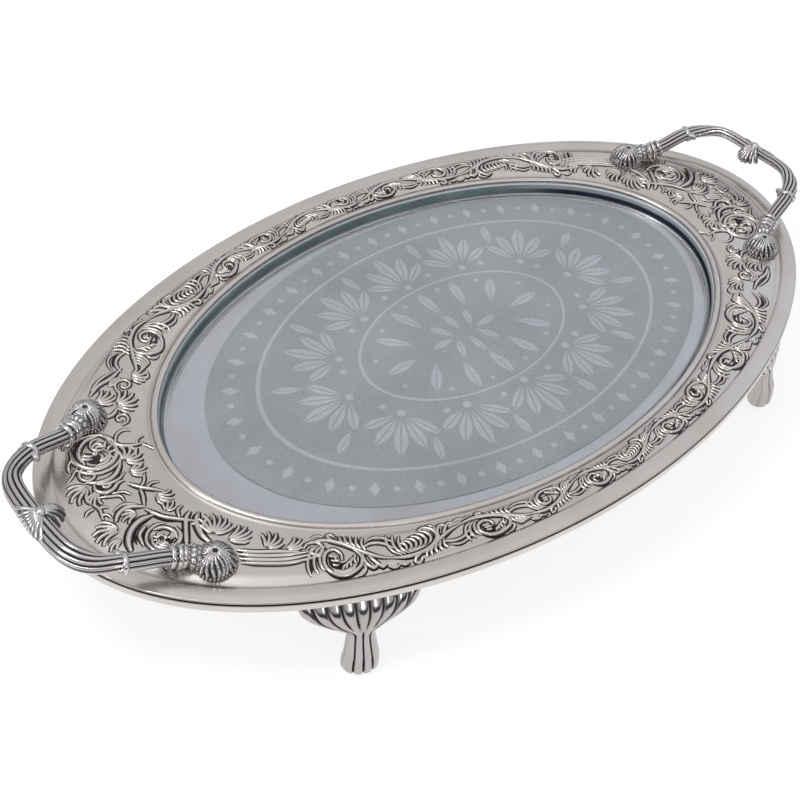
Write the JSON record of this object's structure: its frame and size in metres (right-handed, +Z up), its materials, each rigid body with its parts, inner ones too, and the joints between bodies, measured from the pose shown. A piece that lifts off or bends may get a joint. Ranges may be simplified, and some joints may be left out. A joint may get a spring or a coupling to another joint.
{
  "type": "footed oval serving tray",
  "caption": "Oval footed bread tray of embossed silver plate with reeded end handles and a lift-out frosted glass plate.",
  "frame": {"origin": "on the table under the middle of the tray, at the bottom centre of its box", "axes": "+X along the tray's long axis towards the right handle, +Y across the tray to its back, +Z up out of the well"},
  "size_m": [0.4546, 0.2448, 0.0729],
  "materials": {
    "silver_plate": "polished silver plate, oxidised dark in the recesses",
    "frosted_glass": "clear glass with a frosted design and a bevelled edge",
    "steel_hardware": "plain zinc-plated steel"
  },
  "bodies": {
    "tray": {"tray_body": "silver_plate", "rim_band": "silver_plate", "handle_right": "silver_plate", "handle_left": "silver_plate", "foot_back_right": "silver_plate", "foot_back_left": "silver_plate", "foot_front_left": "silver_plate", "foot_front_right": "silver_plate", "handle_washer_back_right": "steel_hardware", "handle_nut_back_right": "steel_hardware", "foot_washer_back_right": "steel_hardware", "foot_nut_back_right": "steel_hardware", "handle_washer_back_left": "steel_hardware", "handle_nut_back_left": "steel_hardware", "foot_washer_back_left": "steel_hardware", "foot_nut_back_left": "steel_hardware", "handle_washer_front_left": "steel_hardware", "handle_nut_front_left": "steel_hardware", "foot_washer_front_left": "steel_hardware", "foot_nut_front_left": "steel_hardware", "handle_washer_front_right": "steel_hardware", "handle_nut_front_right": "steel_hardware", "foot_washer_front_right": "steel_hardware", "foot_nut_front_right": "steel_hardware"},
    "glass": {"glass_plate": "frosted_glass"}
  },
  "joints": [
    {"name": "glass_lift", "type": "slide", "parent": "tray", "child": "glass", "axis": [0, 0, 1], "range_m": [0, 0.03]}
  ]
}
